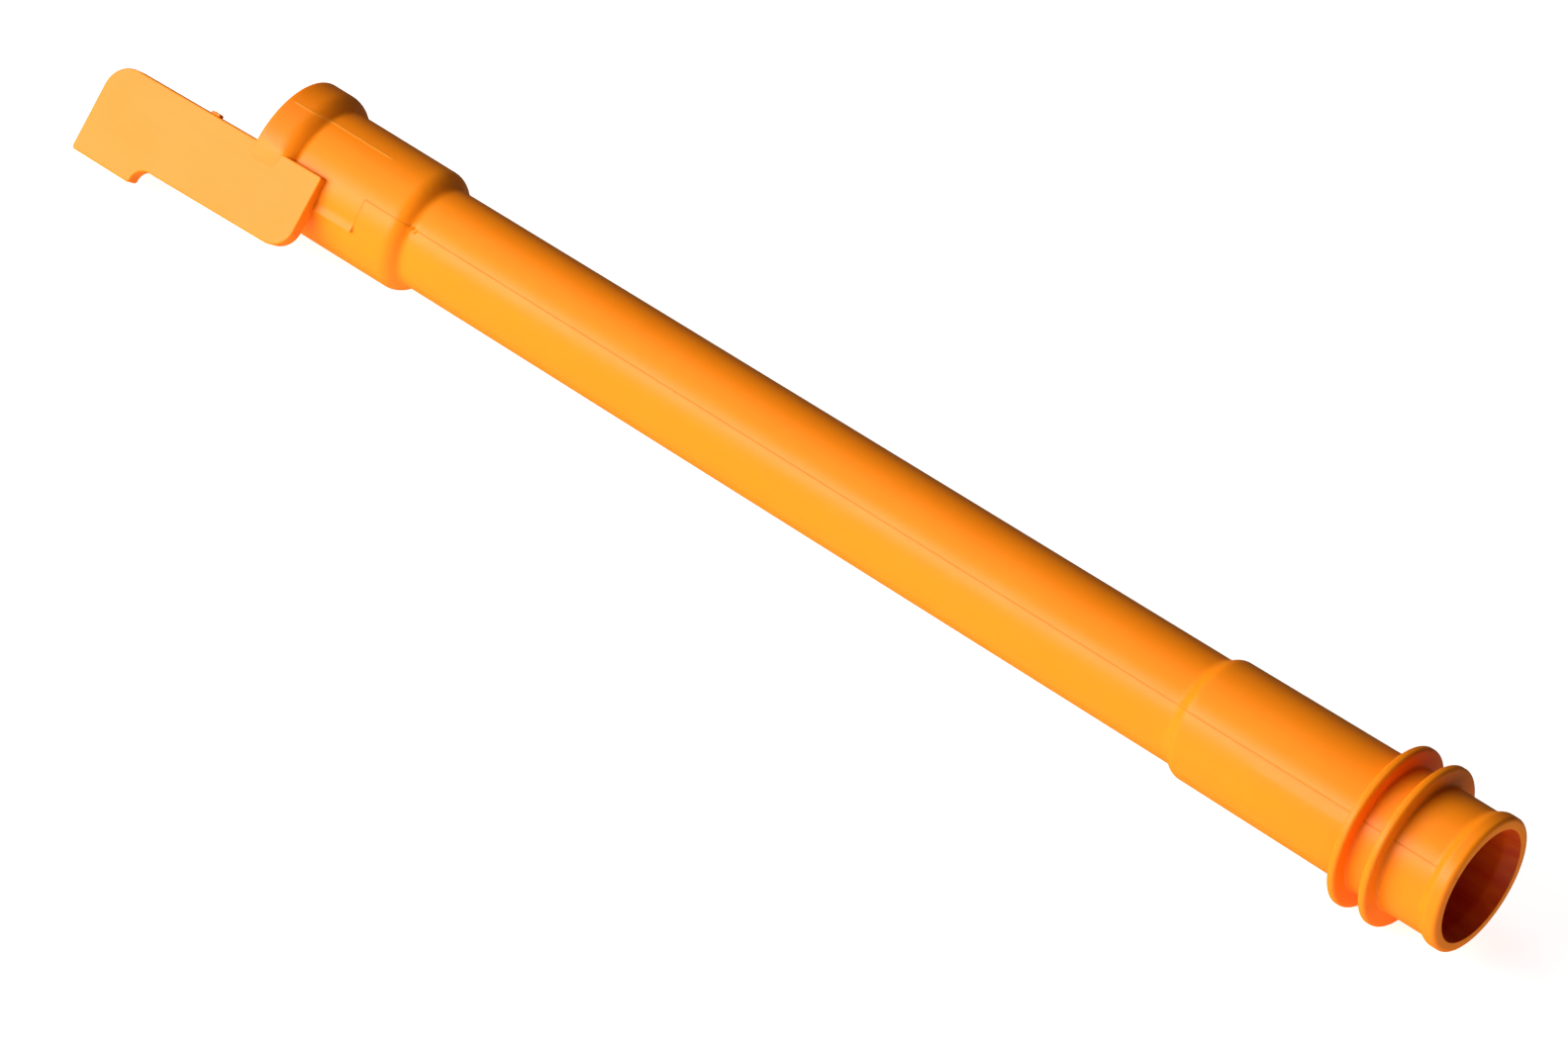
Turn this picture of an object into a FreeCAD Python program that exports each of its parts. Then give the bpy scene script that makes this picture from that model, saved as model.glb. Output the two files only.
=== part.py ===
"""Oil dipstick tube: one injection-moulded guide tube for an engine's dipstick.

The tube is a stepped body of revolution about X. From the mouth, where the dipstick goes in, it runs
through a thick rim and a collar to a long drafted tube, then a socket that slips over the engine's steel
guide tube, two flange rings, a spigot and an end lip. A flat notched tab grows out of the rim, tangent to
its round, and reaches out past the mouth.

While it is drawn, the mouth's face is at x = 0, the tab's face looks along -Y and the tab hangs along -Z.
The body's placement then rolls it about X until it lies on its rings and on the tab's foot.
"""

import FreeCAD, Part
import os

import Sketcher

NODE = "dipstick_tube"
SHEET = "Sizes"

# Driving dimensions in millimetres
SIZES = {
    # head: rim and collar round the mouth
    "rim_diameter": 20.5,
    "rim_length": 6.15,
    "rim_slope": 1.2,
    "collar_diameter": 17.6,
    "collar_length": 18.75,
    "collar_slope": 1.3,
    # long tube, drafted so that it widens towards the socket
    "tube_top_diameter": 14.5,
    "tube_foot_diameter": 15.5,
    "tube_length": 128.7,
    # socket over the steel guide tube
    "socket_top_diameter": 17.4,
    "socket_foot_diameter": 17.9,
    "socket_length": 28.6,
    "socket_ramp": 1.2,
    # flange rings, spigot and end lip
    "ring_diameter": 23.1,
    "ring_thickness": 1.25,
    "ring_gap": 3.7,
    "spigot_diameter": 18.2,
    "spigot_length": 7.1,
    "lip_diameter": 19.5,
    "lip_length": 2.6,
    "lip_ramp": 0.6,
    # passage for the dipstick
    "mouth_bore": 14.8,
    "mouth_bore_depth": 20.5,
    "throat_length": 3.5,
    "tube_wall": 1.5,
    "socket_bore": 14.9,
    "socket_stop_setback": 2.0,
    "mouth_lead_in": 0.4,
    "socket_lead_in": 0.75,
    # tab on the rim
    "tab_reach": 24.0,
    "tab_overlap": 11.25,
    "tab_rise": 0.2,
    "tab_drop": 11.0,
    "tab_foot_drop": 13.8,
    "tab_foot_length": 10.1,
    "tab_thickness": 2.3,
    "tab_inset": 0.1,
    "tab_outer_corner": 3.8,
    "tab_inner_corner": 3.3,
    "tab_notch_round": 2.2,
    "tab_foot_corner": 0.5,
    # flat land on the collar, where the mould shuts off past the tab's end
    "land_reach": 6.5,
    "land_rise": 2.4,
    "land_drop": 4.1,
    "land_inset": 0.5,
    "land_depth": 1.2,
    # gate mark left on the tab's upper edge
    "gate_offset": 8.2,
    "gate_length": 1.5,
    "gate_width": 1.1,
    "gate_height": 0.4,
    # roundings of the turned edges
    "mouth_edge_round": 0.5,
    "rim_round": 2.9,
    "collar_round": 2.6,
    "socket_round": 1.4,
    "ring_round": 0.45,
    "lip_round": 0.9,
}


def size(name):
    """The sheet's cell for one driving dimension, as text for an expression."""
    return f"{SHEET}.{name}"


def total(*terms):
    """The sum of the terms, as text for an expression."""
    return "(" + " + ".join(terms) + ")"


def radius(name):
    """Half of a diameter on the sheet, as text for an expression."""
    return f"({size(name)} / 2)"


# Stations along the axis, from the mouth's face
MOUTH = "0"
RIM_END = size("rim_length")
RIM_CREST = f"({RIM_END} - {size('rim_slope')})"
COLLAR_END = total(RIM_END, size("collar_length"))
COLLAR_CREST = f"({COLLAR_END} - {size('collar_slope')})"
TUBE_END = total(COLLAR_END, size("tube_length"))
RAMP_END = total(TUBE_END, size("socket_ramp"))
RING_1_START = total(TUBE_END, size("socket_length"))
RING_1_END = total(RING_1_START, size("ring_thickness"))
RING_2_START = total(RING_1_END, size("ring_gap"))
RING_2_END = total(RING_2_START, size("ring_thickness"))
LIP_START = total(RING_2_END, size("spigot_length"))
LIP_FULL = total(LIP_START, size("lip_ramp"))
END = total(LIP_START, size("lip_length"))

# Radii of the outside
RIM_RADIUS = radius("rim_diameter")
COLLAR_RADIUS = radius("collar_diameter")
TUBE_TOP_RADIUS = radius("tube_top_diameter")
TUBE_FOOT_RADIUS = radius("tube_foot_diameter")
SOCKET_TOP_RADIUS = radius("socket_top_diameter")
SOCKET_FOOT_RADIUS = radius("socket_foot_diameter")
RING_RADIUS = radius("ring_diameter")
SPIGOT_RADIUS = radius("spigot_diameter")
LIP_RADIUS = radius("lip_diameter")

# Radii and stations of the passage
MOUTH_BORE_RADIUS = radius("mouth_bore")
SOCKET_BORE_RADIUS = radius("socket_bore")
TUBE_TOP_BORE = f"({TUBE_TOP_RADIUS} - {size('tube_wall')})"
TUBE_FOOT_BORE = f"({TUBE_FOOT_RADIUS} - {size('tube_wall')})"
MOUTH_LEAD_RADIUS = total(MOUTH_BORE_RADIUS, size("mouth_lead_in"))
SOCKET_LEAD_RADIUS = total(SOCKET_BORE_RADIUS, size("socket_lead_in"))
THROAT_START = size("mouth_bore_depth")
THROAT_END = total(THROAT_START, size("throat_length"))
STOP = total(TUBE_END, size("socket_stop_setback"))
SOCKET_LEAD_START = f"({END} - {size('socket_lead_in')})"

# Tab: distance of its two faces from the axis, and its corners
TAB_FACE = f"({RIM_RADIUS} - {size('tab_inset')})"
TAB_BACK = f"({TAB_FACE} - {size('tab_thickness')})"
TAB_LEFT = f"(-{size('tab_reach')})"
TAB_RIGHT = size("tab_overlap")
TAB_STEP = f"({size('tab_foot_length')} - {size('tab_reach')})"
TAB_TOP = size("tab_rise")
TAB_LOW = f"(-{size('tab_drop')})"
TAB_FOOT = f"(-{size('tab_foot_drop')})"

# Roll about X that lays the rim and the tab's foot on one level
FOOT_REACH = f"sqrt({TAB_BACK}^2 + {size('tab_foot_drop')}^2)"
REST_ROLL = f"(acos({RIM_RADIUS} / {FOOT_REACH}) - atan2({TAB_BACK}; {size('tab_foot_drop')}))"

# Steps in radius that limit the roundings of their edges
RIM_STEP = f"({RIM_RADIUS} - {COLLAR_RADIUS})"
COLLAR_STEP = f"({COLLAR_RADIUS} - {TUBE_TOP_RADIUS})"
SHOULDER_SHARE = 0.75
RING_SHARE = 0.42

POSITION_TOLERANCE = 1e-4


def make_sheet(doc):
    """The sheet of driving dimensions, one named cell each."""
    sheet = doc.addObject("Spreadsheet::Sheet", SHEET)
    for row, (name, number) in enumerate(SIZES.items(), start=1):
        sheet.set(f"A{row}", name)
        sheet.set(f"B{row}", str(number))
        sheet.setAlias(f"B{row}", name)
    doc.recompute()
    return sheet


class TubeBody:
    """The moulded body and the sheet that its features are bound to."""

    def __init__(self, doc, sheet):
        self.doc = doc
        self.sheet = sheet
        self.body = doc.addObject("PartDesign::Body", NODE)
        self.body.Label = NODE

    def value(self, expression):
        """The number that an expression gives on the sheet."""
        return float(self.sheet.evalExpression(expression))

    def side_plane(self):
        """The body's own XZ plane, in which X runs along the tube."""
        for feature in self.body.Origin.OriginFeatures:
            if feature.Role == "XZ_Plane":
                return feature
        raise RuntimeError("the body has no XZ plane")

    def outline(self, name, corners, offset=None):
        """A closed sketch of straight sides, with each corner's X and Y bound to expressions."""
        sketch = self.body.newObject("Sketcher::SketchObject", name)
        sketch.AttachmentSupport = [(self.side_plane(), "")]
        sketch.MapMode = "FlatFace"
        if offset is not None:
            sketch.setExpression("AttachmentOffset.Base.z", offset)
        places = [FreeCAD.Vector(self.value(x), self.value(y), 0) for x, y in corners]
        count = len(corners)
        for index in range(count):
            sketch.addGeometry(Part.LineSegment(places[index], places[(index + 1) % count]), False)
        for index in range(count):
            sketch.addConstraint(Sketcher.Constraint("Coincident", index, 2, (index + 1) % count, 1))
        for index, (x, y) in enumerate(corners):
            self.hold(sketch, "DistanceX", index, x, places[index].x)
            self.hold(sketch, "DistanceY", index, y, places[index].y)
        self.doc.recompute()
        return sketch

    def hold(self, sketch, kind, index, expression, number):
        """Bind one coordinate of a side's first corner, measured from the sketch's origin."""
        point, origin = (index, 1), (-1, 1)
        if abs(number) < POSITION_TOLERANCE:
            axis = -2 if kind == "DistanceX" else -1
            sketch.addConstraint(Sketcher.Constraint("PointOnObject", index, 1, axis))
            return
        if number > 0:
            ends, bound = origin + point, expression
        else:
            ends, bound = point + origin, f"-({expression})"
        constraint = sketch.addConstraint(Sketcher.Constraint(kind, *ends, abs(number)))
        sketch.setExpression(f"Constraints[{constraint}]", bound)

    def turn(self, kind, name, sketch):
        """A full turn of a sketch about the tube's axis, added or cut."""
        feature = self.body.newObject(kind, name)
        feature.Profile = sketch
        feature.ReferenceAxis = (sketch, ["H_Axis"])
        feature.Angle = 360.0
        self.doc.recompute()
        return feature

    def plate(self, name, sketch, thickness):
        """A pad from its sketch towards the tube's axis."""
        feature = self.body.newObject("PartDesign::Pad", name)
        feature.Profile = sketch
        feature.setExpression("Length", thickness)
        feature.Reversed = True
        self.doc.recompute()
        return feature

    def fillet(self, name, chosen, rounding):
        """Round the edges of the body so far that one of the chosen tests accepts."""
        base = self.body.Tip
        edges = enumerate(base.Shape.Edges, start=1)
        names = [f"Edge{number}" for number, edge in edges if any(test(edge) for test in chosen)]
        if len(names) < len(chosen):
            raise RuntimeError(f"{name}: an edge to round was not found")
        feature = self.body.newObject("PartDesign::Fillet", name)
        feature.Base = (base, names)
        feature.setExpression("Radius", rounding)
        self.doc.recompute()
        return feature

    def circle_at(self, station, reach):
        """A test for the turned edge at a station along the axis and a radius."""
        x, r = self.value(station), self.value(reach)

        def test(edge):
            if not isinstance(edge.Curve, Part.Circle):
                return False
            same_station = abs(edge.Curve.Center.x - x) < POSITION_TOLERANCE
            return same_station and abs(edge.Curve.Radius - r) < POSITION_TOLERANCE

        return test

    def corner_at(self, across, along):
        """A test for the straight edge through the tab's thickness at one corner of its outline."""
        x, z = self.value(across), self.value(along)

        def test(edge):
            if not isinstance(edge.Curve, Part.Line):
                return False
            places = [vertex.Point for vertex in edge.Vertexes]
            return all(abs(p.x - x) + abs(p.z - z) < POSITION_TOLERANCE for p in places)

        return test


def add_outside(tube):
    """The turned outside: rim, collar, drafted tube, socket, rings, spigot and lip."""
    profile = tube.outline("outside_profile", [
        (MOUTH, "0"),
        (MOUTH, RIM_RADIUS),
        (RIM_CREST, RIM_RADIUS),
        (RIM_END, COLLAR_RADIUS),
        (COLLAR_CREST, COLLAR_RADIUS),
        (COLLAR_END, TUBE_TOP_RADIUS),
        (TUBE_END, TUBE_FOOT_RADIUS),
        (RAMP_END, SOCKET_TOP_RADIUS),
        (RING_1_START, SOCKET_FOOT_RADIUS),
        (RING_1_START, RING_RADIUS),
        (RING_1_END, RING_RADIUS),
        (RING_1_END, SPIGOT_RADIUS),
        (RING_2_START, SPIGOT_RADIUS),
        (RING_2_START, RING_RADIUS),
        (RING_2_END, RING_RADIUS),
        (RING_2_END, SPIGOT_RADIUS),
        (LIP_START, SPIGOT_RADIUS),
        (LIP_FULL, LIP_RADIUS),
        (END, LIP_RADIUS),
        (END, "0"),
    ])
    tube.turn("PartDesign::Revolution", "outside", profile)


def shoulder_round(name, slope, step):
    """A rounding at the crest of a sloped shoulder, kept to a share of the slope's length.

    The rounding reaches radius times the tangent of half the slope's angle down the slope, and that tangent
    is (length - run) / step.
    """
    run = size(slope)
    length = f"sqrt({run}^2 + {step}^2)"
    return f"min({size(name)}; {SHOULDER_SHARE} * {length} * {step} / ({length} - {run}))"


def round_outside(tube):
    """The moulded roundings of the turned edges, each limited by the step that it softens."""
    rim_round = shoulder_round("rim_round", "rim_slope", RIM_STEP)
    collar_round = shoulder_round("collar_round", "collar_slope", COLLAR_STEP)
    ring_round = f"min({size('ring_round')}; {RING_SHARE} * {size('ring_thickness')})"
    tube.fillet("mouth_edge", [tube.circle_at(MOUTH, RIM_RADIUS)], size("mouth_edge_round"))
    tube.fillet("rim_shoulder", [tube.circle_at(RIM_CREST, RIM_RADIUS)], rim_round)
    tube.fillet("collar_shoulder", [tube.circle_at(COLLAR_CREST, COLLAR_RADIUS)], collar_round)
    tube.fillet("socket_shoulder", [tube.circle_at(RAMP_END, SOCKET_TOP_RADIUS)], size("socket_round"))
    tube.fillet("ring_edges", [
        tube.circle_at(station, RING_RADIUS)
        for station in (RING_1_START, RING_1_END, RING_2_START, RING_2_END)
    ], ring_round)
    tube.fillet("lip_edge", [tube.circle_at(END, LIP_RADIUS)], size("lip_round"))


def add_tab(tube):
    """The flat tab, tangent to the rim, with its wider foot, notch and rounded corners."""
    outline = tube.outline("tab_outline", [
        (TAB_LEFT, TAB_TOP),
        (TAB_RIGHT, TAB_TOP),
        (TAB_RIGHT, TAB_LOW),
        (TAB_STEP, TAB_LOW),
        (TAB_STEP, TAB_FOOT),
        (TAB_LEFT, TAB_FOOT),
    ], offset=TAB_FACE)
    tube.plate("tab", outline, size("tab_thickness"))
    tube.fillet("tab_outer_corner", [tube.corner_at(TAB_LEFT, TAB_TOP)], size("tab_outer_corner"))
    tube.fillet("tab_inner_corner", [tube.corner_at(TAB_RIGHT, TAB_LOW)], size("tab_inner_corner"))
    tube.fillet("tab_notch", [tube.corner_at(TAB_STEP, TAB_LOW)], size("tab_notch_round"))
    tube.fillet("tab_foot_corners", [
        tube.corner_at(TAB_LEFT, TAB_FOOT),
        tube.corner_at(TAB_STEP, TAB_FOOT),
    ], size("tab_foot_corner"))


def add_land(tube):
    """The flat land on the collar: it starts inside the tab and ends past it."""
    left = f"({TAB_RIGHT} - {size('tab_thickness')})"
    right = total(TAB_RIGHT, size("land_reach"))
    top = f"(-{size('land_rise')})"
    bottom = f"(-{size('land_drop')})"
    outline = tube.outline("land_outline", [
        (left, top),
        (right, top),
        (right, bottom),
        (left, bottom),
    ], offset=f"{COLLAR_RADIUS} - {size('land_inset')}")
    tube.plate("land", outline, size("land_depth"))


def add_gate_mark(tube):
    """The stub of the moulding gate on the tab's upper edge, midway through its thickness."""
    left = f"(-{size('gate_offset')})"
    right = total(left, size("gate_length"))
    top = total(TAB_TOP, size("gate_height"))
    bottom = f"({TAB_TOP} - {size('gate_height')})"
    margin = f"({size('tab_thickness')} - {size('gate_width')}) / 2"
    outline = tube.outline("gate_outline", [
        (left, top),
        (right, top),
        (right, bottom),
        (left, bottom),
    ], offset=f"{TAB_FACE} - {margin}")
    tube.plate("gate_mark", outline, size("gate_width"))


def cut_passage(tube):
    """The passage: mouth bore, conical throat, drafted tube bore, stop and socket bore."""
    before = tube.body.Tip.Shape.Volume
    profile = tube.outline("passage_profile", [
        (MOUTH, "0"),
        (MOUTH, MOUTH_LEAD_RADIUS),
        (size("mouth_lead_in"), MOUTH_BORE_RADIUS),
        (THROAT_START, MOUTH_BORE_RADIUS),
        (THROAT_END, TUBE_TOP_BORE),
        (STOP, TUBE_FOOT_BORE),
        (STOP, SOCKET_BORE_RADIUS),
        (SOCKET_LEAD_START, SOCKET_BORE_RADIUS),
        (END, SOCKET_LEAD_RADIUS),
        (END, "0"),
    ])
    tube.turn("PartDesign::Groove", "passage", profile)
    if tube.body.Tip.Shape.Volume >= before:
        raise RuntimeError("the passage cut nothing")


def lay_down(tube):
    """Roll the body onto its rings and the tab's foot, with the box's bottom centre at the origin."""
    roll = f"-{REST_ROLL}"
    tab_side = f"({TAB_FACE} * cos({REST_ROLL}) + {size('tab_foot_drop')} * sin({REST_ROLL}))"
    body = tube.body
    body.Placement = FreeCAD.Placement(
        FreeCAD.Vector(0, 0, 0),
        FreeCAD.Rotation(FreeCAD.Vector(1, 0, 0), tube.value(roll)),
    )
    body.setExpression("Placement.Rotation.Angle", roll)
    body.setExpression("Placement.Base.x", f"({size('tab_reach')} - {END}) / 2")
    body.setExpression("Placement.Base.y", f"({tab_side} - {RING_RADIUS}) / 2")
    body.setExpression("Placement.Base.z", RING_RADIUS)
    tube.doc.recompute()


def check(doc, body):
    """Stop if any object of the document failed, or if the body is not one sound solid."""
    for item in doc.Objects:
        if "Invalid" in item.State or "Error" in item.State:
            raise RuntimeError(f"{item.Name} failed: {item.State}")
    if body.Shape.isNull() or not body.Shape.isValid() or len(body.Shape.Solids) != 1:
        raise RuntimeError(f"{body.Label} is not one valid solid")


def main():
    doc = FreeCAD.newDocument("oil_dipstick_tube")
    tube = TubeBody(doc, make_sheet(doc))
    add_outside(tube)
    add_tab(tube)
    add_land(tube)
    add_gate_mark(tube)
    round_outside(tube)
    cut_passage(tube)
    lay_down(tube)
    check(doc, tube.body)
    os.makedirs("parts", exist_ok=True)
    tube.body.Shape.exportStep(f"parts/{tube.body.Label}.step")
    box = tube.body.Shape.optimalBoundingBox()
    print(f"{tube.body.Label}: volume {tube.body.Shape.Volume:.1f} mm3")
    print(f"box {box.XMin:.3f} {box.YMin:.3f} {box.ZMin:.3f} to {box.XMax:.3f} {box.YMax:.3f} {box.ZMax:.3f}")


main()
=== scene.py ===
"""Looks of an oil dipstick tube: one moulded guide tube of orange plastic with a notched side tab.

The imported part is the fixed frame. A finely meshed turned surface stands for the tube, inside and out, with
the mould's parting line and its witness marks as real relief. A second surface is the tab that grows out of
the rim. Sizes are in millimetres in the tube's own frame: x along the axis from the mouth's face, n out
through the tab's face, and z up along the tab. Angles round the axis start at n and turn towards z. A fade is
a pair of values: where it starts and where it is complete.
"""

import math

import bpy
import numpy as np
from mathutils import Matrix, Vector


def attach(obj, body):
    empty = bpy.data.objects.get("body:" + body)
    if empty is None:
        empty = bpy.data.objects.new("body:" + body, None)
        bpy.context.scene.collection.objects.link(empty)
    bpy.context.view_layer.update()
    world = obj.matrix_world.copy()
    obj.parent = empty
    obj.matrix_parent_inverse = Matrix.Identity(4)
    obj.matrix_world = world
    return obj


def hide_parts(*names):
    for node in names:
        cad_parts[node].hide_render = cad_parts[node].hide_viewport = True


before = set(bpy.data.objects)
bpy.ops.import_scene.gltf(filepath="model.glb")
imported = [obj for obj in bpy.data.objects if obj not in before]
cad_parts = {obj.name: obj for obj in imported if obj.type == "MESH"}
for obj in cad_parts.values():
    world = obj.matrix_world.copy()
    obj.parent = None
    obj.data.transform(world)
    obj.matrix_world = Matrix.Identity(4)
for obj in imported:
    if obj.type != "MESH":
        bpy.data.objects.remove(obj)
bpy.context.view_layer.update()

NODE = "dipstick_tube"
MM = 0.001
QUARTER_TURN = math.pi / 2

# Turned outside: radii
RIM_RADIUS = 10.25
COLLAR_RADIUS = 8.8
TUBE_TOP_RADIUS = 7.25
TUBE_FOOT_RADIUS = 7.75
SOCKET_TOP_RADIUS = 8.7
SOCKET_FOOT_RADIUS = 8.95
RING_RADIUS = 11.55
SPIGOT_RADIUS = 9.1
LIP_RADIUS = 9.75

# Turned outside: stations from the mouth's face
RIM_CREST = 4.95
RIM_END = 6.15
COLLAR_CREST = 23.6
COLLAR_END = 24.9
TUBE_END = 153.6
RAMP_END = 154.8
RING_1_START = 182.2
RING_1_END = 183.45
RING_2_START = 187.15
RING_2_END = 188.4
LIP_START = 195.1
LIP_FULL = 196.1
END = 198.1

# Turned outside: roundings
RIM_EDGE_ROUND = 0.5
RIM_CREST_ROUND = 2.9
RIM_ROOT_ROUND = 0.8
COLLAR_CREST_ROUND = 2.6
COLLAR_ROOT_ROUND = 1.2
RAMP_ROUND = 2.2
RING_ROOT_ROUND = 0.3
RING_EDGE_ROUND = 0.45
LIP_RAMP_ROUND = 1.8
LIP_EDGE_ROUND = 0.6

# Passage: radii, stations and roundings
MOUTH_BORE = 7.4
THROAT_START = 20.5
THROAT_END = 24.0
TUBE_TOP_BORE = 5.75
TUBE_FOOT_BORE = 6.25
STOP = 155.6
SOCKET_BORE = 7.45
MOUTH_LEAD = 0.4
SOCKET_LEAD = 0.75
SOCKET_LEAD_LENGTH = 2.2
SOCKET_LEAD_EDGE_ROUND = 0.12
SOCKET_LEAD_ROUND = 2.0
THROAT_ROUND = 0.5
BORE_EDGE_ROUND = 0.1

# Radii within the wall, which part the outside from the passage
WALL_STATIONS = [0.0, THROAT_START, THROAT_END, STOP, END]
WALL_RADII = [8.0, 8.0, 6.4, 7.0, 8.2]

# Tab
TAB_FACE = 10.15
TAB_THICKNESS = 2.3
TAB_LEFT = -24.0
TAB_RIGHT = 11.25
TAB_STEP = -13.9
TAB_TOP = 0.2
TAB_LOW = -11.0
TAB_FOOT = -13.8
TAB_POLE = (-15.0, -5.5)

# Tab: roundings of its outline's corners and of its edges
TAB_TOP_LEFT_ROUND = 3.8
TAB_FOOT_LEFT_ROUND = 0.5
TAB_FOOT_RIGHT_ROUND = 0.45
TAB_NOTCH_ROUND = 1.95
TAB_LOW_RIGHT_ROUND = 3.3
TAB_TOP_RIGHT_ROUND = 0.35
TAB_EDGE_ROUND = 0.22

# Small leans of the tab: its long edges rise to the right, and its upper face falls to the back
UPPER_EDGE_LEFT = TAB_TOP - 0.6
UPPER_EDGE_RIGHT = TAB_TOP + 0.25
LOWER_EDGE_LEFT = TAB_LOW - 0.3
LOWER_EDGE_RIGHT = TAB_LOW + 0.1
UPPER_FACE_DRAFT = 0.09
DRAFT_FADE = (TAB_TOP - 3.0, TAB_TOP - 0.6)

# Gate stub on the tab's upper edge
GATE_LEFT = -8.2
GATE_LENGTH = 1.5
GATE_WIDTH = 1.1
GATE_HEIGHT = 0.4
GATE_LEVEL = TAB_TOP - 0.2
GATE_CORNER_ROUND = 0.2
GATE_EDGE_ROUND = 0.12

# How the tube lies: its axis above the floor, and its roll about that axis
FOOT_REACH = math.hypot(TAB_FACE - TAB_THICKNESS, TAB_FOOT)
REST_ROLL = math.acos(RIM_RADIUS / FOOT_REACH) - math.atan2(TAB_FACE - TAB_THICKNESS, -TAB_FOOT)
TAB_SIDE = TAB_FACE * math.cos(REST_ROLL) - TAB_FOOT * math.sin(REST_ROLL)
MOUTH_ON_AXIS = np.array([(-TAB_LEFT - END) / 2, (TAB_SIDE - RING_RADIUS) / 2, RING_RADIUS])
ALONG = np.array([1.0, 0.0, 0.0])
FACE_OUT = np.array([0.0, -math.cos(REST_ROLL), math.sin(REST_ROLL)])
TAB_UP = np.array([0.0, math.sin(REST_ROLL), math.cos(REST_ROLL)])

# Flat land on the collar, and the line along its end, a groove with painted shade along it
LAND_FACE = 8.3
LAND_END = 17.75
LAND_LOW = -4.1
LAND_REACH = 1.2
LAND_END_FADE = (LAND_END - 0.12, LAND_END + 0.12)
LAND_LOW_FADE = (LAND_LOW - 0.1, LAND_LOW)
LAND_LINE_WIDTH = 0.12
LAND_LINE_STRENGTH = 0.9

# Parting line: a fine groove with painted shade along it. It starts at the land's end and gives out on rings
# and lip
PARTING_START = math.radians(5.6)
PARTING_TURN = math.radians(-2.7)
SEAM_WIDTH = 0.11
SEAM_DEPTH = 0.025
SEAM_START_FADE = (LAND_END - 0.15, LAND_END + 0.15)
SEAM_RADIUS_FADE = (9.2, 9.6)

# Slide's line on rim and collar: a thin ridge with a painted highlight along it
SLIDE_LEVEL = 6.8
SLIDE_WIDTH = 0.1
SLIDE_RIDGE = 0.05
SLIDE_START_FADE = (0.8, 1.6)
SLIDE_END_FADE = (16.4, 17.2)

# Nicks across the parting line past the collar: station, and place above the line
NICKS = [(24.75, 0.3), (25.25, 0.0), (25.75, -0.3)]
NICK_DEPTH = 0.2
NICK_WIDTH = 0.13
NICK_REACH = 0.3
NICK_SLOPE = 0.5

# Swellings at the ramp to the socket: station, level and height
SWELLINGS = [(TUBE_END, 0.6, 0.1), (TUBE_END + 0.9, -2.6, 0.08)]
SWELLING_WIDTH = 0.5

# Sink on the socket's front: a shallow flat
SINK_ANGLE = math.radians(-1.0)
SINK_HALF_WIDTH = math.radians(7.0)
SINK_START_FADE = (163.0, 168.0)
SINK_END_FADE = (180.5, 182.0)

# Root where the rim runs into the tab's face
ROOT_SPREAD = 0.04
ROOT_REACH = 0.6
ROOT_HAIR = 0.012
ROOT_BELOW_FADE = (math.radians(11.0), math.radians(19.0))
ROOT_ABOVE_FADE = (math.radians(2.0), math.radians(7.0))
ROOT_RADIUS_FADE = (9.9, 10.2)
ROOT_MOUTH_FADE = (0.4, 2.6)

# Angles from the tab over which the rim's painted shade fades in
RIM_SHADE_ABOVE_FADE = (0.03, 0.12)
RIM_SHADE_BELOW_FADE = (0.1, 0.3)

# Mesh: steps round the axis, steps in an arc, spacings, and the stations that need finer steps, which are the
# land's end and the nicks past the collar
TURN_STEPS = 212
SECTION_ARC_STEPS = 7
TAB_ARC_STEPS = 12
GATE_ARC_STEPS = 4
TAB_SPACING = 1.0
GATE_SPACING = 0.4
EDGE_POINTS = 5
FINE_STATIONS = np.concatenate([np.arange(17.27, 18.25, 0.07), np.arange(25.56, 26.4, 0.11)])
SHARP_ANGLE = math.radians(38.0)

# Point marks that the plastic reads: painted shade on the parting line, the passage and the rim, and a
# painted highlight on the slide's line
MARKS = ("seam_groove_and_shade", "passage_shade", "rim_shade", "slide_ridge_and_highlight")

# Colours
DEEP_ORANGE = (0.90, 0.212, 0.003, 1.0)
PALE_ORANGE = (0.95, 0.25, 0.006, 1.0)
# Painted shade on the rim
RIM_SHADE_ORANGE = (0.58, 0.115, 0.002, 1.0)
# Painted highlight on the slide's line
SLIDE_HIGHLIGHT_ORANGE = (0.97, 0.42, 0.06, 1.0)
# Painted shade along the parting line's groove
SEAM_SHADE_BROWN = (0.54, 0.13, 0.004, 1.0)
# Painted shade in the passage
PASSAGE_SHADE_RED = (0.54, 0.025, 0.002, 1.0)
FLOOR_GREY = (0.82, 0.82, 0.82, 1.0)
WHITE = (1.0, 1.0, 1.0, 1.0)

# Photograph's view: its frame in pixels, and the camera fitted to the tube's outline. PIXEL is the size in
# millimetres of a pixel at the tube, and AXIS_OFFSET is in pixels
IMAGE_WIDTH = 1584
SENSOR_WIDTH = 36.0
FOCAL_PIXELS = 12500.0
PIXEL = 0.12797
VIEW_LIFT = REST_ROLL + math.radians(8.6)
VIEW_YAW = math.radians(24.73)
VIEW_PITCH = 0.0173
IMAGE_SLANT = math.radians(30.904)
AXIS_OFFSET = 58.47
AIM_STATION = 89.45


def to_row(x, n, z):
    """Points of the tube's own frame, in millimetres, as row-frame points in metres on a last axis of 3."""
    x, n, z = np.broadcast_arrays(x, n, z)
    return (MOUTH_ON_AXIS + x[..., None] * ALONG + n[..., None] * FACE_OUT + z[..., None] * TAB_UP) * MM


def smooth_step(value, low, high):
    """0 below low, 1 above high, and 3t^2 - 2t^3 between them."""
    t = np.clip((value - low) / (high - low), 0.0, 1.0)
    return t * t * (3.0 - 2.0 * t)


def bell(value, centre, width):
    """A bell curve: e to the minus squared distance from the centre in widths."""
    return np.exp(-(((value - centre) / width) ** 2))


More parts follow.
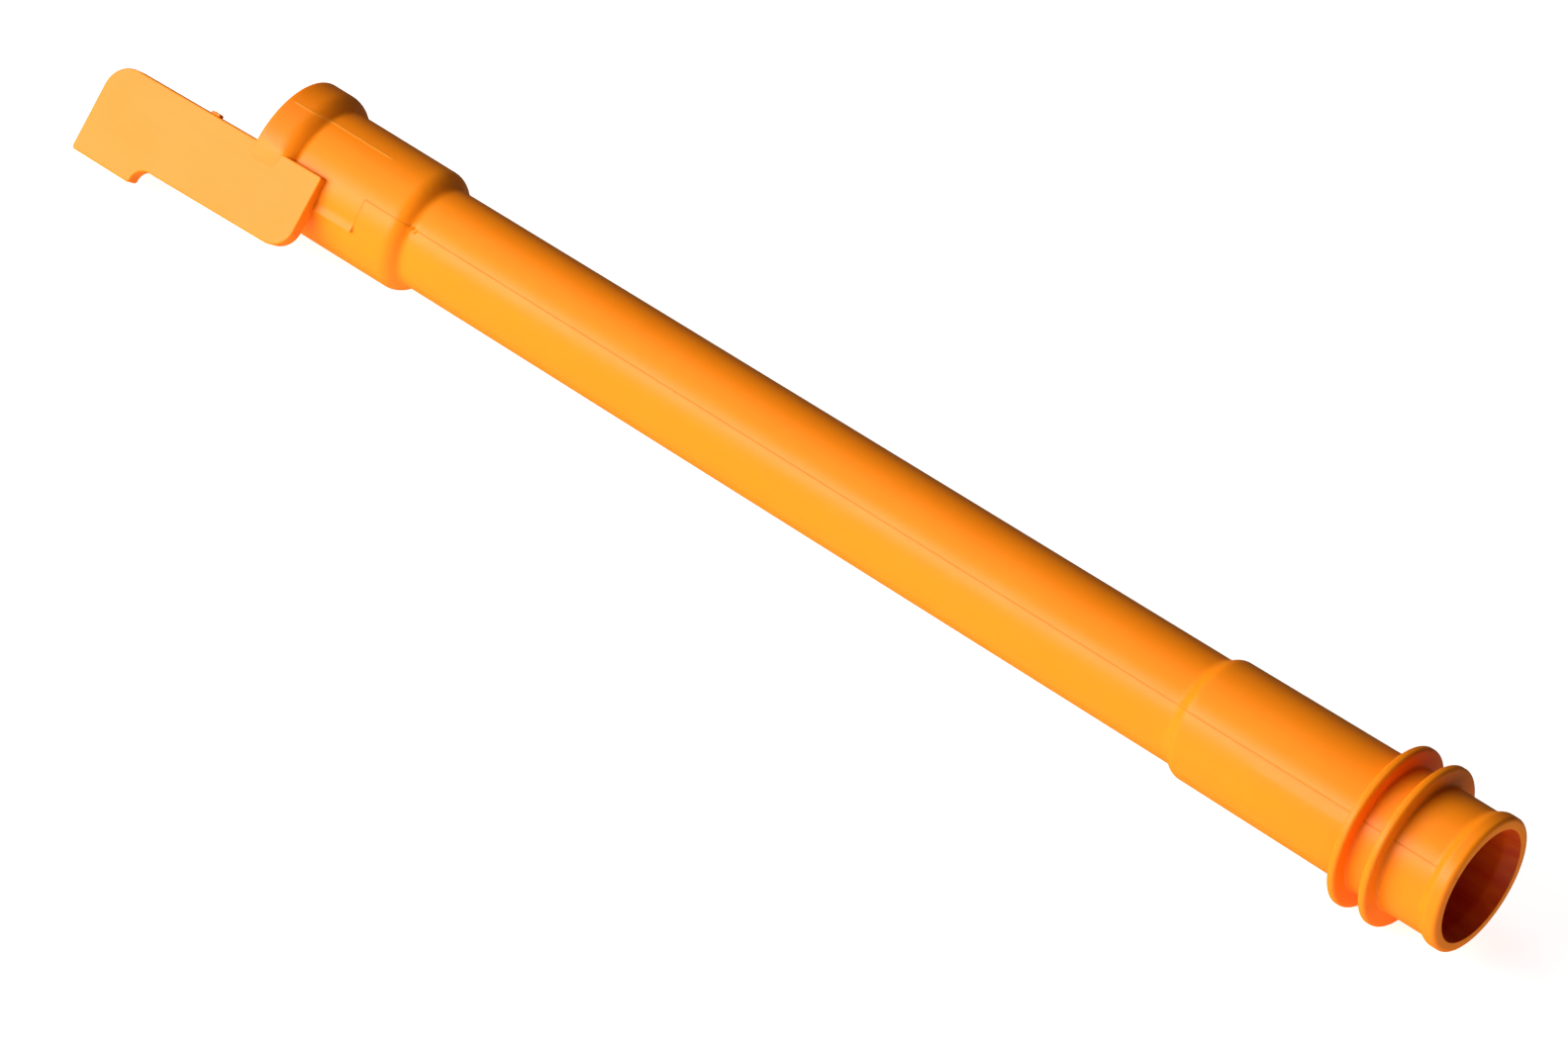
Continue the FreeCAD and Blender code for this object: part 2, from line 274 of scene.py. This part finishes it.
def rounded_loop(corners, radii, spacing, arc_steps):
    """A closed outline with rounded corners.

    Each corner is an arc tangent to both its sides, at radius / tan(half the inner angle) from the corner.
    The straight runs between arcs are divided evenly so that no step is longer than the run's spacing.
    """
    corners = np.asarray(corners, float)
    count = len(corners)
    arcs = []
    for index in range(count):
        here = corners[index]
        back = corners[index - 1] - here
        ahead = corners[(index + 1) % count] - here
        back /= np.linalg.norm(back)
        ahead /= np.linalg.norm(ahead)
        half = math.acos(np.clip(back @ ahead, -1.0, 1.0)) / 2
        middle = (back + ahead) / np.linalg.norm(back + ahead)
        centre = here + middle * radii[index] / math.sin(half)
        start = here + back * radii[index] / math.tan(half) - centre
        stop = here + ahead * radii[index] / math.tan(half) - centre
        turn = math.atan2(start[0] * stop[1] - start[1] * stop[0], start @ stop)
        angles = np.linspace(0.0, turn, arc_steps + 1)
        across = np.array([-start[1], start[0]])
        arcs.append(centre + np.cos(angles)[:, None] * start + np.sin(angles)[:, None] * across)
    pieces = []
    for index in range(count):
        first, last = arcs[index][-1], arcs[(index + 1) % count][0]
        steps = max(1, math.ceil(np.linalg.norm(last - first) / spacing[index]))
        shares = np.arange(1, steps)[:, None] / steps
        pieces += [arcs[index], first + (last - first) * shares]
    return np.concatenate(pieces)


def ring_rows(start, end, radius_before):
    """Rows of the section for one flange ring, from the surface before it to the spigot after it."""
    return [
        (start, radius_before, RING_ROOT_ROUND, 0.4),
        (start, RING_RADIUS, RING_EDGE_ROUND, 0.4),
        (end, RING_RADIUS, RING_EDGE_ROUND, 0.4),
        (end, SPIGOT_RADIUS, RING_ROOT_ROUND, 0.6),
    ]


def tube_section():
    """The tube's closed section: station and radius round the outside, the end and the passage.

    Each row gives a corner's station, its radius, its rounding and the spacing of the run that follows it.
    """
    rows = np.array([
        (0.0, RIM_RADIUS, RIM_EDGE_ROUND, 0.5),
        (RIM_CREST, RIM_RADIUS, RIM_CREST_ROUND, 0.3),
        (RIM_END, COLLAR_RADIUS, RIM_ROOT_ROUND, 0.6),
        (COLLAR_CREST, COLLAR_RADIUS, COLLAR_CREST_ROUND, 0.3),
        (COLLAR_END, TUBE_TOP_RADIUS, COLLAR_ROOT_ROUND, 2.5),
        (TUBE_END, TUBE_FOOT_RADIUS, RAMP_ROUND, 0.3),
        (RAMP_END, SOCKET_TOP_RADIUS, RAMP_ROUND, 1.2),
        *ring_rows(RING_1_START, RING_1_END, SOCKET_FOOT_RADIUS),
        *ring_rows(RING_2_START, RING_2_END, SPIGOT_RADIUS),
        (LIP_START, SPIGOT_RADIUS, LIP_RAMP_ROUND, 0.3),
        (LIP_FULL, LIP_RADIUS, LIP_RAMP_ROUND, 0.4),
        (END, LIP_RADIUS, LIP_EDGE_ROUND, 0.3),
        (END, SOCKET_BORE + SOCKET_LEAD, SOCKET_LEAD_EDGE_ROUND, 0.2),
        (END - SOCKET_LEAD_LENGTH, SOCKET_BORE, SOCKET_LEAD_ROUND, 1.5),
        (STOP, SOCKET_BORE, BORE_EDGE_ROUND, 0.4),
        (STOP, TUBE_FOOT_BORE, BORE_EDGE_ROUND, 4.0),
        (THROAT_END, TUBE_TOP_BORE, THROAT_ROUND, 0.8),
        (THROAT_START, MOUTH_BORE, THROAT_ROUND, 1.5),
        (MOUTH_LEAD, MOUTH_BORE, BORE_EDGE_ROUND, 0.2),
        (0.0, MOUTH_BORE + MOUTH_LEAD, BORE_EDGE_ROUND, 0.4),
    ])
    loop = rounded_loop(rows[:, :2], rows[:, 2], rows[:, 3], SECTION_ARC_STEPS)
    return add_stations(loop, FINE_STATIONS)


def add_stations(loop, stations):
    """The section with more points on its outside, on the straight run that holds each added station."""
    x, r = loop[:, 0], loop[:, 1]
    outer = int(np.argmax(x))
    places = np.searchsorted(x[:outer], stations)
    heights = np.interp(stations, x[:outer], r[:outer])
    return np.insert(x, places, stations), np.insert(r, places, heights)


def turn_angles(count, crowds):
    """Angles round the axis, closer together at the crowds, each given by its centre, width and gain.

    The density is 1 plus a bell curve at each crowd, and the angles divide its running sum evenly.
    """
    samples = 20001
    fine = np.linspace(-math.pi, math.pi, samples)
    density = np.ones_like(fine)
    for centre, width, gain in crowds:
        away = np.angle(np.exp(1j * (fine - centre)))
        density += gain * bell(away, 0.0, width)
    running = np.concatenate([[0.0], np.cumsum((density[1:] + density[:-1]) / 2)])
    return np.interp(np.arange(count) * running[-1] / count, running, fine)


def on_front(angle):
    """True on the half of the tube that faces out through the tab's face."""
    return np.abs(angle) < QUARTER_TURN


def on_collar(x, outside):
    """1 on the collar's outside, and 0 elsewhere."""
    return outside * (x > RIM_END) * (x < COLLAR_END)


def parting_angle(x):
    """The parting line's angle, which drifts evenly along the tube."""
    return PARTING_START + PARTING_TURN * x / END


def seam_groove_and_shade_mask(x, r, angle, outside):
    """1 on the parting line, falling off as a bell curve of the arc length from it. It sets the groove's
    depth and the painted shade along it.

    The front line starts at the land's end and drops there to the land's lower edge. The back line runs from
    the mouth to the end. Rings and lip have no line.
    """
    parting = parting_angle(x)
    z = r * np.sin(angle)
    front_line = bell(r * (angle - parting), 0.0, SEAM_WIDTH) * smooth_step(x, *SEAM_START_FADE)
    back_line = bell(r * (math.pi - parting - np.abs(angle)), 0.0, SEAM_WIDTH) * (angle > 0)
    beside_land = (z < r * np.sin(parting)) * (z > LAND_LOW) * on_front(angle) * on_collar(x, outside)
    land_line = LAND_LINE_STRENGTH * bell(x, LAND_END, LAND_LINE_WIDTH) * beside_land
    plain = outside * (1.0 - smooth_step(r, *SEAM_RADIUS_FADE) * (x > RIM_END))
    return plain * np.clip(front_line + back_line + land_line, 0.0, 1.0)


def land_relief(x, angle, outside):
    """Height of the collar's flat land below the tab's normal.

    It is the flat's distance from the axis over the cosine of the angle, less the collar's radius.
    """
    proud = np.clip(LAND_FACE / np.cos(np.clip(angle, -LAND_REACH, LAND_REACH)) - COLLAR_RADIUS, 0.0, None)
    level = LAND_FACE * np.tan(np.clip(angle, -LAND_REACH, 0.0))
    window = (1.0 - smooth_step(x, *LAND_END_FADE)) * smooth_step(level, *LAND_LOW_FADE)
    return on_collar(x, outside) * window * proud * (angle < 0)


def slide_ridge_and_highlight_mask(x, r, angle, outside):
    """1 on the slide's line at its level on rim and collar, falling off as a bell curve. It sets the ridge's
    height and the painted highlight along it.
    """
    window = smooth_step(x, *SLIDE_START_FADE) * (1.0 - smooth_step(x, *SLIDE_END_FADE))
    return outside * bell(r * np.sin(angle), SLIDE_LEVEL, SLIDE_WIDTH) * on_front(angle) * window


def nick_relief(x, r, angle, outside):
    """Depth of the nicks: slanting grooves with a bell's section, each kept short by a second bell curve."""
    above = r * (angle - parting_angle(x))
    depth = 0.0
    for station, shift in NICKS:
        groove = bell(x - station, NICK_SLOPE * (above - shift), NICK_WIDTH)
        depth = depth + groove * bell(above, shift, NICK_REACH)
    return outside * NICK_DEPTH * depth * on_front(angle)


def swelling_relief(x, r, angle, outside):
    """Height of the swellings, each a bell curve along the tube times one across it."""
    height = 0.0
    for station, level, rise in SWELLINGS:
        along = bell(x, station, SWELLING_WIDTH)
        height = height + rise * along * bell(r * np.sin(angle), level, SWELLING_WIDTH)
    return outside * height * on_front(angle)


def sink_relief(x, r, angle, outside):
    """Depth of the sink, a chord of the section.

    The chord's radius is the radius times the cosine of the half width, over the cosine of the angle from the
    sink's middle. The half width grows from nothing and goes back to nothing along the socket.
    """
    window = smooth_step(x, *SINK_START_FADE) * (1.0 - smooth_step(x, *SINK_END_FADE))
    away = np.clip(angle - SINK_ANGLE, -SINK_HALF_WIDTH, SINK_HALF_WIDTH)
    chord = np.cos(SINK_HALF_WIDTH * window) / np.cos(away)
    return outside * r * np.clip(1.0 - chord, 0.0, None)


def tab_root(x, r, angle, outside):
    """Radial fill that leads the rim into the tab's face without a crease.

    It is a soft maximum of the rim's radius and the tab plane's radius, which is the plane's distance over
    the cosine of the angle. Past the line where the plane comes out it sinks back under the tab's face. Near
    the mouth the rim is let down to a hair above the plane.
    """
    near_tab = np.abs(angle) < ROOT_REACH
    rise = TAB_FACE / np.cos(np.clip(angle, -ROOT_REACH, ROOT_REACH)) - r
    fill = ROOT_SPREAD * np.log1p(np.exp(np.clip(rise / ROOT_SPREAD, -30.0, 30.0)))
    below = 1.0 - smooth_step(-angle, *ROOT_BELOW_FADE)
    above = 1.0 - smooth_step(angle, *ROOT_ABOVE_FADE)
    fill = fill * below * above * smooth_step(r, *ROOT_RADIUS_FADE) * near_tab
    proud = np.clip(-rise - ROOT_HAIR, 0.0, None) * near_tab * (x < RIM_CREST)
    return outside * (fill - proud * (1.0 - smooth_step(x, *ROOT_MOUTH_FADE)))


def tube_surface():
    """The turned surface: the closed section carried round the axis, plus the moulded relief.

    A point is x along the axis, and radius times the cosine and sine of its angle along the tab's normal and
    the tab's rise.
    """
    section_x, section_r = tube_section()
    middle_parting = PARTING_START + PARTING_TURN / 2
    crowds = [
        (middle_parting, 0.04, 9.0),
        (math.pi - middle_parting, 0.04, 5.0),
        (math.atan2(LAND_LOW, LAND_FACE), 0.02, 6.0),
        (math.asin(SLIDE_LEVEL / COLLAR_RADIUS), 0.03, 3.0),
        (math.asin(SLIDE_LEVEL / RIM_RADIUS), 0.03, 3.0),
    ]
    angle = turn_angles(TURN_STEPS, crowds)[None, :]
    x, r = section_x[:, None], section_r[:, None]
    outside = (r > np.interp(x, WALL_STATIONS, WALL_RADII)) * 1.0
    # The parting line's mask sets the groove's depth and the painted shade along it
    seam_groove_and_shade = seam_groove_and_shade_mask(x, r, angle, outside)
    # The slide's mask sets the ridge's height and the painted highlight along it
    slide_ridge_and_highlight = slide_ridge_and_highlight_mask(x, r, angle, outside)
    relief = SLIDE_RIDGE * slide_ridge_and_highlight - SEAM_DEPTH * seam_groove_and_shade + land_relief(x, angle, outside)
    relief = relief + swelling_relief(x, r, angle, outside) + tab_root(x, r, angle, outside)
    relief = relief - nick_relief(x, r, angle, outside) - sink_relief(x, r, angle, outside)
    radius = r + relief
    points = to_row(x, radius * np.cos(angle), radius * np.sin(angle))
    # Painted shade in the passage: every point of the bore is marked for a deep red
    passage_shade = np.broadcast_to(1.0 - outside, radius.shape)
    # Painted shade on the rim: darker on its flat, fading out over its shoulder, and kept off the line of the
    # tab's face
    clear_of_tab = smooth_step(angle, *RIM_SHADE_ABOVE_FADE) + smooth_step(-angle, *RIM_SHADE_BELOW_FADE)
    rim_shade = outside * (1.0 - smooth_step(x, RIM_CREST, RIM_END)) * clear_of_tab
    return points, dict(zip(MARKS, (seam_groove_and_shade, passage_shade, rim_shade, slide_ridge_and_highlight)))


def closed_grid_faces(rows, columns):
    """Quads of a grid that closes on itself both ways."""
    row = np.arange(rows)[:, None]
    column = np.arange(columns)[None, :]
    next_row, next_column = (row + 1) % rows, (column + 1) % columns
    corners = [row * columns + column, row * columns + next_column]
    corners += [next_row * columns + next_column, next_row * columns + column]
    return np.stack(np.broadcast_arrays(*corners), axis=-1).reshape(-1, 4)


def plate_surface(outline, pole, front, thickness, edge):
    """A flat plate with rounded edges: points in the tube's own frame and faces, as one closed shell.

    Rings of points run from the front face's pole out to the outline, round the edge and back in to the rear
    face's pole. Each ring is the outline moved inwards by its inset, at its own depth. Round the edge, inset
    and depth are the radius times 1 - sine and 1 - cosine, and two rings on each face keep it flat.
    """
    ahead = np.roll(outline, -1, axis=0) - np.roll(outline, 1, axis=0)
    ahead /= np.linalg.norm(ahead, axis=1, keepdims=True)
    inward = np.column_stack([-ahead[:, 1], ahead[:, 0]])
    arc = np.linspace(0.0, QUARTER_TURN, EDGE_POINTS)
    face_insets = [1.5 * edge, 1.2 * edge]
    inset = np.concatenate([face_insets, edge * (1 - np.sin(arc))])
    depth = np.concatenate([[0.0, 0.0], edge * (1 - np.cos(arc))])
    inset = np.concatenate([inset, inset[::-1]])
    depth = np.concatenate([depth, thickness - depth[::-1]])
    rings = outline[None] + inset[:, None, None] * inward[None]
    count, around = rings.shape[:2]
    flat = np.concatenate([rings.reshape(-1, 2), [pole, pole]])
    level = front - np.concatenate([np.repeat(depth, around), [0.0, thickness]])
    step = np.arange(around)
    next_step = (step + 1) % around
    ring = np.arange(count - 1)[:, None] * around
    next_ring = ring + around
    quads = np.stack([ring + step, ring + next_step, next_ring + next_step, next_ring + step], axis=-1)
    first_pole, last_pole = count * around, count * around + 1
    last = (count - 1) * around
    caps = [np.column_stack([np.full(around, first_pole), next_step, step])]
    caps.append(np.column_stack([np.full(around, last_pole), last + step, last + next_step]))
    return np.column_stack([flat[:, 0], level, flat[:, 1]]), quads.reshape(-1, 4), np.concatenate(caps)


def tab_outline():
    """The tab's outline, counter-clockwise on its face from its upper left corner.

    Each row gives a corner's x and z and its rounding.
    """
    rows = np.array([
        (TAB_LEFT, UPPER_EDGE_LEFT, TAB_TOP_LEFT_ROUND),
        (TAB_LEFT, TAB_FOOT, TAB_FOOT_LEFT_ROUND),
        (TAB_STEP, TAB_FOOT, TAB_FOOT_RIGHT_ROUND),
        (TAB_STEP, LOWER_EDGE_LEFT, TAB_NOTCH_ROUND),
        (TAB_RIGHT, LOWER_EDGE_RIGHT, TAB_LOW_RIGHT_ROUND),
        (TAB_RIGHT, UPPER_EDGE_RIGHT, TAB_TOP_RIGHT_ROUND),
    ])
    return rounded_loop(rows[:, :2], rows[:, 2], [TAB_SPACING] * len(rows), TAB_ARC_STEPS)


def gate_outline():
    """The gate stub's outline, a small block that straddles the tab's upper edge."""
    right = GATE_LEFT + GATE_LENGTH
    top, bottom = GATE_LEVEL + GATE_HEIGHT, GATE_LEVEL - GATE_HEIGHT
    corners = [(GATE_LEFT, top), (GATE_LEFT, bottom), (right, bottom), (right, top)]
    count = len(corners)
    return rounded_loop(corners, [GATE_CORNER_ROUND] * count, [GATE_SPACING] * count, GATE_ARC_STEPS)


def make_piece(name, points, faces, marks, material):
    """A mesh object at the origin from row-frame points, with its point attributes and one material."""
    mesh = bpy.data.meshes.new(name)
    mesh.from_pydata(points.reshape(-1, 3), [], faces)
    for mark, values in marks.items():
        attribute = mesh.attributes.new(mark, "FLOAT", "POINT")
        attribute.data.foreach_set("value", np.ascontiguousarray(values, np.float32).ravel())
    mesh.validate()
    mesh.shade_smooth()
    mesh.set_sharp_from_angle(angle=SHARP_ANGLE)
    mesh.materials.append(material)
    piece = bpy.data.objects.new(name, mesh)
    bpy.context.scene.collection.objects.link(piece)
    return piece


class Field:
    """A value that varies over a surface. It wraps an output socket, and its operators add Math nodes."""

    def __init__(self, paint, socket):
        self.paint = paint
        self.socket = socket

    def combine(self, operation, first, second):
        return self.paint.node("ShaderNodeMath", {"operation": operation}, {0: first, 1: second})

    def __add__(self, other):
        return self.combine("ADD", self, other)

    def __radd__(self, other):
        return self.combine("ADD", other, self)

    def __sub__(self, other):
        return self.combine("SUBTRACT", self, other)

    def __rsub__(self, other):
        return self.combine("SUBTRACT", other, self)

    def __mul__(self, other):
        return self.combine("MULTIPLY", self, other)

    def __rmul__(self, other):
        return self.combine("MULTIPLY", other, self)


class Paint:
    """A material being made, with one method for all its nodes."""

    def __init__(self, name):
        self.material = bpy.data.materials.new(name)
        self.material.use_nodes = True
        self.tree = self.material.node_tree
        self.tree.nodes.clear()

    def node(self, kind, settings=None, inputs=None, out=0):
        """A node of a kind: its settings first, then its sockets' values or links. Gives one output."""
        made = self.tree.nodes.new(kind)
        for name, value in (settings or {}).items():
            setattr(made, name, value)
        for name, value in (inputs or {}).items():
            if isinstance(value, Field):
                self.tree.links.new(value.socket, made.inputs[name])
            else:
                made.inputs[name].default_value = value
        return Field(self, made.outputs[out]) if made.outputs else None

    def mark(self, name):
        """A point mark of the mesh."""
        return self.node("ShaderNodeAttribute", {"attribute_name": name}, out="Fac")

    def noise(self, place, scale, detail, roughness=0.5):
        """Cloudy noise about 0.5, with features of about one over the scale in metres."""
        return self.node("ShaderNodeTexNoise", {}, {
            "Vector": place, "Scale": scale, "Detail": detail, "Roughness": roughness,
        })

    def blend(self, factor, first, second):
        """A colour between two, by a factor."""
        return self.node("ShaderNodeMix", {"data_type": "RGBA"}, {0: factor, 6: first, 7: second}, out=2)


def moulded_plastic(name):
    """Satin orange plastic: cloudy colour, flow streaks and a fine grain.

    Painted shade makes the rim and the passage deeper in tone and the parting line browner, and a painted
    highlight makes the slide's line paler.
    """
    paint = Paint(name)
    place = paint.node("ShaderNodeTexCoord", out="Object")
    drawn_out = paint.node("ShaderNodeMapping", {}, {"Vector": place, "Scale": (0.05, 1.0, 1.0)})
    cloud = paint.noise(place, scale=42.0, detail=3.0)
    streak = paint.noise(drawn_out, scale=700.0, detail=2.0)
    grain = paint.noise(place, scale=2600.0, detail=2.0)
    smudge = paint.noise(place, scale=150.0, detail=4.0, roughness=0.6)
    seam_groove_and_shade, passage_shade, rim_shade, slide_ridge_and_highlight = (paint.mark(mark) for mark in MARKS)
    base = paint.blend(cloud * 0.7 + streak * 0.3, DEEP_ORANGE, PALE_ORANGE)
    # Painted shade: the rim darker
    base = paint.blend(rim_shade * 0.3, base, RIM_SHADE_ORANGE)
    # Painted highlight: the slide's line paler
    base = paint.blend(slide_ridge_and_highlight * 0.4, base, SLIDE_HIGHLIGHT_ORANGE)
    # Painted shade along the parting line's groove, browner
    base = paint.blend(seam_groove_and_shade * (0.15 + smudge * 0.7), base, SEAM_SHADE_BROWN)
    # Painted shade: the passage deep red, streaked
    base = paint.blend(passage_shade * (0.6 + streak * 0.5), base, PASSAGE_SHADE_RED)
    roughness = 0.38 + (smudge - 0.5) * 0.16 + seam_groove_and_shade * 0.1
    height = grain * 0.6 + streak * 0.4
    normal = paint.node("ShaderNodeBump", {}, {"Strength": 0.25, "Distance": 0.00002, "Height": height})
    shader = paint.node("ShaderNodeBsdfPrincipled", {}, {
        "Base Color": base, "Roughness": roughness, "Normal": normal,
        "IOR": 1.47, "Specular IOR Level": 0.2, "Subsurface Weight": 0.12,
        "Subsurface Radius": (1.0, 0.28, 0.04), "Subsurface Scale": 0.0012,
    })
    paint.node("ShaderNodeOutputMaterial", {}, {"Surface": shader})
    return paint.material


def pale_floor(name):
    """A plain pale studio floor with a little light of its own."""
    paint = Paint(name)
    shader = paint.node("ShaderNodeBsdfPrincipled", {}, {
        "Base Color": FLOOR_GREY, "Roughness": 0.9, "Emission Color": WHITE, "Emission Strength": 0.84,
    })
    paint.node("ShaderNodeOutputMaterial", {}, {"Surface": shader})
    return paint.material


def make_tube(material):
    """The tube, inside and out, as one closed surface."""
    points, marks = tube_surface()
    faces = closed_grid_faces(*points.shape[:2])
    return make_piece("moulded_tube", points, faces.tolist(), marks, material)


def make_tab(material):
    """The tab and its gate stub, as two closed shells of one mesh.

    Near the tab's top the points go down with their depth behind the face, which gives the upper face its
    draft.
    """
    gate_middle = (GATE_LEFT + GATE_LENGTH / 2, GATE_LEVEL)
    gate_front = TAB_FACE - (TAB_THICKNESS - GATE_WIDTH) / 2
    shells = [
        plate_surface(tab_outline(), TAB_POLE, TAB_FACE, TAB_THICKNESS, TAB_EDGE_ROUND),
        plate_surface(gate_outline(), gate_middle, gate_front, GATE_WIDTH, GATE_EDGE_ROUND),
    ]
    points = np.concatenate([shell[0] for shell in shells])
    near_top = smooth_step(points[:, 2], *DRAFT_FADE)
    points[:, 2] -= UPPER_FACE_DRAFT * (TAB_FACE - points[:, 1]) * near_top
    faces, start = [], 0
    for places, quads, caps in shells:
        faces += (quads + start).tolist() + (caps + start).tolist()
        start += len(places)
    row_points = to_row(points[:, 0], points[:, 1], points[:, 2])
    marks = dict.fromkeys(MARKS, np.zeros(len(points)))
    return make_piece("side_tab", row_points, faces, marks, material)


def make_floor():
    """The studio floor, which the plastic doesn't mirror."""
    reach = 6.0
    mesh = bpy.data.meshes.new("studio_floor")
    corners = [(-reach, -reach, 0.0), (reach, -reach, 0.0), (reach, reach, 0.0), (-reach, reach, 0.0)]
    mesh.from_pydata(corners, [], [(0, 1, 2, 3)])
    mesh.materials.append(pale_floor("pale_floor"))
    floor = bpy.data.objects.new("studio_floor", mesh)
    bpy.context.scene.collection.objects.link(floor)
    floor.visible_glossy = False


def make_softbox(name, azimuth, elevation, distance, width, height, watts):
    """A soft light that looks at the tube's middle from an azimuth and elevation in degrees."""
    light = bpy.data.lights.new(name, "AREA")
    light.shape = "RECTANGLE"
    light.size = width
    light.size_y = height
    light.energy = watts
    a, e = math.radians(azimuth), math.radians(elevation)
    away = Vector((math.sin(a) * math.cos(e), -math.cos(a) * math.cos(e), math.sin(e)))
    softbox = bpy.data.objects.new(name, light)
    softbox.location = Vector((0.0, 0.0, RING_RADIUS * MM)) + away * distance
    softbox.rotation_euler = away.to_track_quat("Z", "Y").to_euler()
    bpy.context.scene.collection.objects.link(softbox)


def make_studio():
    """Soft key light from the front left, a fill from the upper left, and a dim even surround."""
    make_floor()
    make_softbox(
        "key_softbox", azimuth=-29.0, elevation=15.5, distance=1.5, width=1.5, height=0.67, watts=33.0,
    )
    make_softbox(
        "fill_softbox", azimuth=-60.0, elevation=50.0, distance=1.0, width=0.7, height=0.7, watts=2.4,
    )
    world = bpy.data.worlds.new("studio_surround")
    world.use_nodes = True
    surround = world.node_tree.nodes["Background"]
    surround.inputs["Color"].default_value = WHITE
    surround.inputs["Strength"].default_value = 0.045
    bpy.context.scene.world = world
    bpy.context.scene.view_settings.view_transform = "Standard"


def make_camera():
    """The photograph's view. Its right and up are the tube's image directions, turned by the tube's slant."""
    across = np.array([0.0, math.sin(VIEW_LIFT), math.cos(VIEW_LIFT)])
    toward = np.array([0.0, -math.cos(VIEW_LIFT), math.sin(VIEW_LIFT)])
    run = math.cos(VIEW_YAW) * ALONG - math.sin(VIEW_YAW) * toward
    back = math.sin(VIEW_YAW) * ALONG + math.cos(VIEW_YAW) * toward
    run_tilted = math.cos(VIEW_PITCH) * run + math.sin(VIEW_PITCH) * across
    rise_tilted = math.cos(VIEW_PITCH) * across - math.sin(VIEW_PITCH) * run
    right = math.cos(IMAGE_SLANT) * run_tilted + math.sin(IMAGE_SLANT) * rise_tilted
    up = math.cos(IMAGE_SLANT) * rise_tilted - math.sin(IMAGE_SLANT) * run_tilted
    aim = MOUTH_ON_AXIS + AIM_STATION * ALONG
    place = (aim + PIXEL * (FOCAL_PIXELS * back - AXIS_OFFSET * rise_tilted)) * MM
    camera = bpy.data.objects.new("photo_camera", bpy.data.cameras.new("photo_camera"))
    camera.data.sensor_width = SENSOR_WIDTH
    camera.data.lens = FOCAL_PIXELS * SENSOR_WIDTH / IMAGE_WIDTH
    camera.data.clip_start = 0.05
    camera.data.clip_end = 20.0
    turn = Matrix((right, up, back)).transposed().to_4x4()
    camera.matrix_world = Matrix.Translation(place) @ turn
    bpy.context.scene.collection.objects.link(camera)
    bpy.context.scene.camera = camera


def main():
    """The two pieces on the frame, then the studio and the camera."""
    plastic = moulded_plastic("moulded_orange_plastic")
    for piece in (make_tube(plastic), make_tab(plastic)):
        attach(piece, "root")
        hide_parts(NODE)
    make_studio()
    make_camera()


main()
